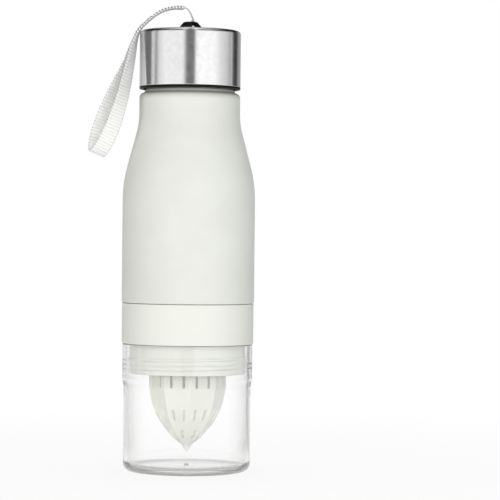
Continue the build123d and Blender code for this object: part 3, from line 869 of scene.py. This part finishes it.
cap_liner = turn_piece("black_cap_liner", [
    (0, GASKET_TOP), (LINER_BORE, GASKET_TOP, 0, THREAD_ROW), (LINER_BORE, LINER_FOOT, 0.4),
    (CAP_RADIUS, LINER_FOOT, 0.4), (CAP_RADIUS, SHELL_FOOT), (LINER_RADIUS, SHELL_FOOT),
    (LINER_RADIUS, CEILING - CHAMFER), (LINER_RADIUS - CHAMFER, CEILING),
    (SLEEVE_BORE - CHAMFER, CEILING), (SLEEVE_BORE, CEILING - CHAMFER), (SLEEVE_BORE, PLATE_TOP),
    (BOSS_RADIUS, PLATE_TOP), (BOSS_RADIUS, CEILING), (BOSS_BORE, CEILING),
    (BOSS_BORE, PLATE_TOP + BOSS_FLOOR), (0, PLATE_TOP + BOSS_FLOOR),
], black_pp)
cut_thread(cap_liner, LINER_BORE, -CAP_SCREW_HEIGHT, neck_screw_foot + CAP_LEAD / 2, CAP_FORM)
ring_boxes(cap_liner, CAP_RIBS, 0, RIB_FOOT, CAP_RIB, RIB_START, is_cut=False)
settle(cap_liner, "cap", "cap_liner")

cap_shell = turn_piece("brushed_cap_shell", [
    (CAP_RADIUS - SHELL_WALL, SHELL_FOOT, 0.08), (CAP_RADIUS, SHELL_FOOT, 0.4),
    (CAP_RADIUS, CAP_TOP, 2), (SHELL_HOLE, CAP_TOP, 0.12), (SHELL_HOLE, CEILING, 0.12),
    (CAP_RADIUS - SHELL_WALL, CEILING, 1.5),
], steel)
settle(cap_shell, "cap", "cap_shell")

lug_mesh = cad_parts["strap_lug"].data.copy()
strap_lug = new_piece("black_strap_lug", finish_mesh(lug_mesh, black_pp, 35))
settle(strap_lug, "cap", "strap_lug")

# %% [markdown]
# ## The wrist strap
#
# The tape is a flat section with rounded edges that follows the smooth line and turns with
# it. Grosgrain has fat cross ribs, here 1.7 mm apart, where its thin warp passes over thick
# filling yarns. A tree presses the hollows between the ribs into both faces, at distances
# that it reads from each point's own run along the tape.

# %% The tape's section along its line
TAPE_WIDTH, TAPE_THICKNESS, RIB_PITCH, RIB_DEPTH = 8.8, 0.8, 1.7, 0.2
FLAT_STEPS, FOLD_LEAN = 10, 0.42
half_thick = TAPE_THICKNESS / 2 * MM
flat_half = TAPE_WIDTH / 2 * MM - half_thick
edge_angles = [math.radians(a) for a in (-90, -54, -18, 18, 54, 90)]
section = [(flat_half + half_thick * math.cos(a), half_thick * math.sin(a)) for a in edge_angles]
section += [(flat_half * (1 - 2 * k / FLAT_STEPS), half_thick) for k in range(1, FLAT_STEPS)]
section += [(-across, -rise) for across, rise in section]


def along_line(line, index):
    """The direction of a line of points at one of them."""
    before, after = line[max(index - 1, 0)], line[min(index + 1, len(line) - 1)]
    return (after - before).normalized()


def sweep_mesh(name, frames, shape, runs, material):
    """A closed tube of a section along frames of (place, across, rise), with run and map."""
    vertices = [place + across * a + rise * r for place, across, rise in frames for a, r in shape]
    size, last = len(shape), len(frames) - 1
    cells = [
        [(row, here), (row, here + 1), (row + 1, here + 1), (row + 1, here)]
        for row in range(last) for here in range(size)
    ]
    cells += [[(0, here) for here in reversed(range(size))], [(last, here) for here in range(size)]]
    faces = [[row * size + here % size for row, here in cell] for cell in cells]
    mesh = bpy.data.meshes.new(name)
    mesh.from_pydata([tuple(vertex) for vertex in vertices], [], faces)
    girth = [0.0]
    for here in range(size):
        girth.append(girth[-1] + math.dist(shape[here], shape[(here + 1) % size]))
    corners = [corner for cell in cells for corner in cell]
    weave = [value / MM for row, here in corners for value in (runs[row], girth[here])]
    mesh.uv_layers.new(name="weave").data.foreach_set("uv", weave)
    run = mesh.attributes.new("run", "FLOAT", "POINT")
    run.data.foreach_set("value", [runs[row] for row in range(last + 1) for here in range(size)])
    mesh.shade_smooth()
    mesh.materials.append(material)
    return mesh


tape_frames = []
for index, (place, degrees) in enumerate(zip(tape_line, tape_turns)):
    ahead = along_line(tape_line, index)
    turn = math.radians(degrees)
    across = Vector((math.sin(turn), math.cos(turn), -FOLD_LEAN * math.sin(turn)))
    across = (across - ahead * across.dot(ahead)).normalized()
    tape_frames.append((place, across, ahead.cross(across)))
tape_mesh = sweep_mesh("woven_wrist_strap", tape_frames, section, tape_runs, webbing)
print("tape", len(tape_mesh.vertices), "points")

# %% The ribs pressed into the tape
rib_tree, add, given, output = new_tree("grosgrain_ribs", Float="Pitch, Depth")
run = add("GeometryNodeInputNamedAttribute", {"Name": "run"}, data_type="FLOAT")
ribs = add("DIVIDE", [run, given["Pitch"]])
phase = add("MULTIPLY", [ribs, math.pi])
wave = add("SINE", [phase])
hollow = add("ABSOLUTE", [wave])
round_rib = add("POWER", [hollow, 0.7])
press = add("SUBTRACT", [round_rib, 1.0])
depth = add("MULTIPLY", [press, given["Depth"]])
normal = add("GeometryNodeInputNormal")
shift = add(VECTOR, {0: normal, "Scale": depth}, operation="SCALE")
pressed = add("GeometryNodeSetPosition", {"Geometry": given["Geometry"], "Offset": shift})
marks = {"Geometry": pressed, "Name": "rib", "Value": round_rib}
kept = add("GeometryNodeStoreNamedAttribute", marks, data_type="FLOAT")
close_tree(add, kept, given, output)

wrist_strap = new_piece("woven_wrist_strap", tape_mesh)
rib_pitch = tape_runs[-1] / round(tape_runs[-1] / (RIB_PITCH * MM))
grow(wrist_strap, rib_tree, webbing, {"Pitch": rib_pitch, "Depth": RIB_DEPTH * MM})
settle(wrist_strap, "cap", "wrist_strap")

# %% [markdown]
# ## The string
#
# The string is three strands of nylon twisted together, about a millimetre thick. Each
# strand is a small tube that winds round the smooth line once in every 2.6 mm.

# %% The twisted string
STRING_DIAMETER, STRAND_SHARE, TWIST_PITCH, STRANDS, STRAND_SIDES = 1.0, 0.27, 2.6, 3, 8
strand_radius = STRING_DIAMETER * STRAND_SHARE * MM
strand_offset = (STRING_DIAMETER / 2 - STRING_DIAMETER * STRAND_SHARE) * MM
corner_angles = [TAU * k / STRAND_SIDES for k in range(STRAND_SIDES)]
strand_section = [(strand_radius * math.cos(a), strand_radius * math.sin(a)) for a in corner_angles]
side = Vector((0, 1, 0))
string_frames = []
for index, place in enumerate(string_line):
    ahead = along_line(string_line, index)
    side = (side - ahead * side.dot(ahead)).normalized()
    string_frames.append((place, side, ahead.cross(side)))
strands = bmesh.new()
for strand in range(STRANDS):
    frames = []
    for run, (place, across, rise) in zip(string_runs, string_frames):
        twist = TAU * (run / (TWIST_PITCH * MM) + strand / STRANDS)
        offset = strand_offset * (across * math.cos(twist) + rise * math.sin(twist))
        frames.append((place + offset, across, rise))
    strands.from_mesh(sweep_mesh("strand", frames, strand_section, string_runs, nylon))
string_mesh = keep_work("twisted_strap_string", strands, nylon)
strap_string = new_piece("twisted_strap_string", string_mesh)
settle(strap_string, "cap", "strap_string")

# %% [markdown]
# ## The bar tack
#
# Two rows of thread close the loop where its ends meet. Each stitch is a short bent tube that
# a tree sets along a row of points, above and below the doubled tape.

# %% Stitches across the tape
STITCHES, FIRST_STITCH, STITCH_STEP, STITCH_LENGTH, STITCH_SLANT = 13, -3.6, 0.6, 1.3, 0.35
STITCH_LIFT, STITCH_RISE, THREAD_RADIUS = 0.34, 0.3, 0.14

stitch_tree, add, given, output = new_tree(
    "stitch_row", Int="Count", Vector="Start, Step, Stitch, Rise", Float="Thread radius",
)
front, back = [
    add(VECTOR, {0: given["Stitch"], "Scale": half}, operation="SCALE") for half in (0.5, -0.5)
]
bent = {"Resolution": 6, "Start": back, "Middle": given["Rise"], "End": front}
bow = add("GeometryNodeCurveQuadraticBezier", bent)
round_thread = {"Resolution": 6, "Radius": given["Thread radius"]}
thread = add("GeometryNodeCurvePrimitiveCircle", round_thread)
tube = {"Curve": bow, "Profile Curve": thread, "Fill Caps": True}
spots = {"Count": given["Count"], "Start Location": given["Start"], "Offset": given["Step"]}
stitch = add("GeometryNodeCurveToMesh", tube)
sewn = {"Points": add("GeometryNodeMeshLine", spots), "Instance": stitch}
close_tree(add, add("GeometryNodeInstanceOnPoints", sewn), given, output)

tack = bmesh.new()
for row_x in (-5.0, -7.0):
    for layer, upward in ((TAPE_OVER, 1), (TAPE_UNDER, -1)):
        height = CAP_TOP + layer + upward * STITCH_LIFT
        holder = new_piece("tack_row", bpy.data.meshes.new("tack_row"))
        grow(holder, stitch_tree, nylon, {
            "Count": STITCHES, "Start": (row_x * MM, FIRST_STITCH * MM, height * MM),
            "Step": (0, STITCH_STEP * MM, 0), "Rise": (0, 0, upward * STITCH_RISE * MM),
            "Stitch": (STITCH_LENGTH * MM, STITCH_SLANT * MM, 0),
            "Thread radius": THREAD_RADIUS * MM,
        })
        tack.from_mesh(holder.data)
        bpy.data.objects.remove(holder)
bar_tack = new_piece("sewn_bar_tack", keep_work("sewn_bar_tack", tack, nylon))
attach(bar_tack, "cap")
print("bar tack", len(bar_tack.data.polygons), "faces")

# %% [markdown]
# ## Floor, studio and lamps
#
# The floor is a pale disc that looks white to the camera and keeps a little of the bottle's
# shadow. The camera sees plain white round it. Mirrors see soft boxes and the dark gaps between
# them, set by their direction round the bottle, which draw the upright dark stripes on the
# steel. Light that came through glass sees paler bearings of its own, in the world and in the
# floor's far part, which draw the darker lines in the clear wall. Four lamps light the bottle
# from the left, the right, the front and above, and a fifth lights its back.

# %% The studio round the bottle
def studio_ramp(add, direction, stops):
    """The studio's brightness towards a direction; stops are in degrees right of the camera."""
    axes = add(SPLIT, [direction]).outputs
    behind = add("MULTIPLY", [axes[1], -1.0])
    bearing = add("ARCTAN2", [axes[0], behind])
    ramp = add(RAMP, [add(RANGE, [bearing, -math.pi, math.pi, 0.0, 1.0])])
    elements = ramp.color_ramp.elements
    while len(elements) < len(stops):
        elements.new(0.5)
    for element, (degrees, bright) in zip(elements, stops):
        element.position = (degrees + 180) / 360
        element.color = (bright, bright, bright, 1)
    return ramp


studio_stops = [
    (-180, 0.5), (-160, 0.45), (-145, 0.36), (-132, 0.36), (-124, 0.13), (-101, 0.13), (-97, 0.6),
    (-90, 0.6), (-87, 0.3), (-82, 0.3), (-77, 0.66), (-58, 0.86), (-16, 0.86), (-8, 0.14),
    (9, 0.14), (14, 0.95), (26, 1), (58, 0.96), (72, 0.74), (97, 0.5), (102, 0.32), (108, 0.5),
    (117, 0.05), (131, 0.03), (143, 0.26), (180, 0.4),
]
glass_stops = [
    (-180, 1), (-166, 1), (-160, 0.95), (-155, 0.8), (-146, 0.75), (-138, 0.85), (-90, 1), (90, 1),
    (136, 0.85), (144, 0.5), (150, 0.4), (156, 0.8), (164, 1), (180, 1),
]
print("studio stops", len(studio_stops), "for gloss and", len(glass_stops), "for glass")

# %% The floor
FLOOR_RADIUS, FLOOR_DROP = 800 * MM, 0.05 * MM
far_part = 100 * MM, 160 * MM
shadow_part = 50 * MM, 450 * MM

floor_finish = bpy.data.materials.new("studio floor")
floor_finish.use_nodes = True
floor_finish.node_tree.nodes.clear()
add = partial(add_node, floor_finish.node_tree)
ray = add("ShaderNodeLightPath").outputs
glassy = ray["Is Transmission Ray"]
seen = add("ADD", [ray["Is Camera Ray"], ray["Is Glossy Ray"]], use_clamp=True)
through = add("ADD", [seen, glassy], use_clamp=True)
ground = add(PLACE).outputs["Object"]
away = add(VECTOR, [ground], operation="LENGTH").outputs["Value"]
far = add(RANGE, [away, *far_part])
far_glassy = add("MULTIPLY", [far, glassy])
bearings = studio_ramp(add, ground, glass_stops)
dimmed = add(MIX, {0: far_glassy, 6: WHITE, 7: bearings}, data_type="RGBA")
glow = add("ShaderNodeEmission", [dimmed.outputs[2], 1.0])
plain = add("ShaderNodeBsdfDiffuse", [colour("#F4F4F4")])
paler = add(RANGE, [away, *shadow_part, 0.85, 1.0])
share = add("MULTIPLY", [through, paler])
mixed = add("ShaderNodeMixShader", [share, plain, glow])
add("ShaderNodeOutputMaterial", [mixed])

disc = bmesh.new()
bmesh.ops.create_circle(disc, cap_ends=True, segments=96, radius=FLOOR_RADIUS)
floor_mesh = keep_work("studio_floor", disc, floor_finish)
floor_mesh.transform(Matrix.Translation((0, 0, -FLOOR_DROP)))
floor = new_piece("studio_floor", floor_mesh)
print("floor", [round(side / MM) for side in floor.dimensions], "mm")

# %% [markdown]
# ### The world
#
# At both sides of the bottle a dark flag hangs above the soft boxes. The rounded edge at the
# cap's top mirrors it, so the edge turns dark towards its sides as it does in the photograph.

# %% The studio world
AMBIENT, BOXES = 0.46, 1.33
side_part, band_foot, band_top = (0.12, 0.3), (0.2, 0.42), (0.66, 0.85)

world = bpy.data.worlds.new("studio")
scene.world = world
world.use_nodes = True
world.node_tree.nodes.clear()
add = partial(add_node, world.node_tree)
direction = add(PLACE).outputs["Generated"]
axes = add(SPLIT, [direction]).outputs
sideways = add("ABSOLUTE", [axes[0]])
to_side = add(RANGE, [sideways, *side_part, 0.0, 1.0])
rising = add(RANGE, [axes[2], *band_foot, 0.0, 0.95])
falling = add(RANGE, [axes[2], *band_top, 1.0, 0.3])
flag = add("MULTIPLY", [add("MULTIPLY", [to_side, rising]), falling])
studio = studio_ramp(add, direction, studio_stops)
flagged = add(MIX, {0: flag, 6: studio, 7: (0, 0, 0, 1)}, data_type="RGBA")
in_glass = studio_ramp(add, direction, glass_stops)
ambient, soft_boxes, glass, white = [
    add("ShaderNodeBackground", light)
    for light in ((WHITE, AMBIENT), (flagged.outputs[2], BOXES), (in_glass, 1.0), (WHITE, 1.0))
]
ray = add("ShaderNodeLightPath").outputs
glossy = add("ShaderNodeMixShader", [ray["Is Glossy Ray"], ambient, soft_boxes])
lit = add("ShaderNodeMixShader", [ray["Is Transmission Ray"], glossy, glass])
final = add("ShaderNodeMixShader", [ray["Is Camera Ray"], lit, white])
add("ShaderNodeOutputWorld", [final])
print("world nodes", len(world.node_tree.nodes))

# %% The lamps
aimed_at = Vector((0, 0, 120 * MM))
for name, place, size, power, tint in (
    ("left_box", (-0.7, -1.45, 0.45), 0.7, 7.7, (1.0, 0.98, 0.93)),
    ("right_box", (0.8, -1.4, 0.4), 0.7, 6.3, (0.97, 0.985, 1.0)),
    ("front_fill", (0.1, -1.6, 0.05), 0.4, 3.2, (1.0, 1.0, 1.0)),
    ("top_box", (0.0, 0.1, 1.5), 0.8, 3.5, (1.0, 1.0, 1.0)),
    ("back_box", (0.15, 1.5, 0.45), 0.9, 6.0, (1.0, 1.0, 1.0)),
):
    lamp = bpy.data.lights.new(name, "AREA")
    lamp.energy, lamp.size, lamp.shape, lamp.color = power, size, "SQUARE", tint
    lamp_object = bpy.data.objects.new(name, lamp)
    lamp_object.location = place
    lamp_object.rotation_euler = (aimed_at - Vector(place)).to_track_quat("-Z", "Y").to_euler()
    for ray_kind in ("camera", "glossy", "transmission"):
        setattr(lamp_object, "visible_" + ray_kind, False)
    scene.collection.objects.link(lamp_object)
scene.view_settings.view_transform = "Standard"
print("lamps set")
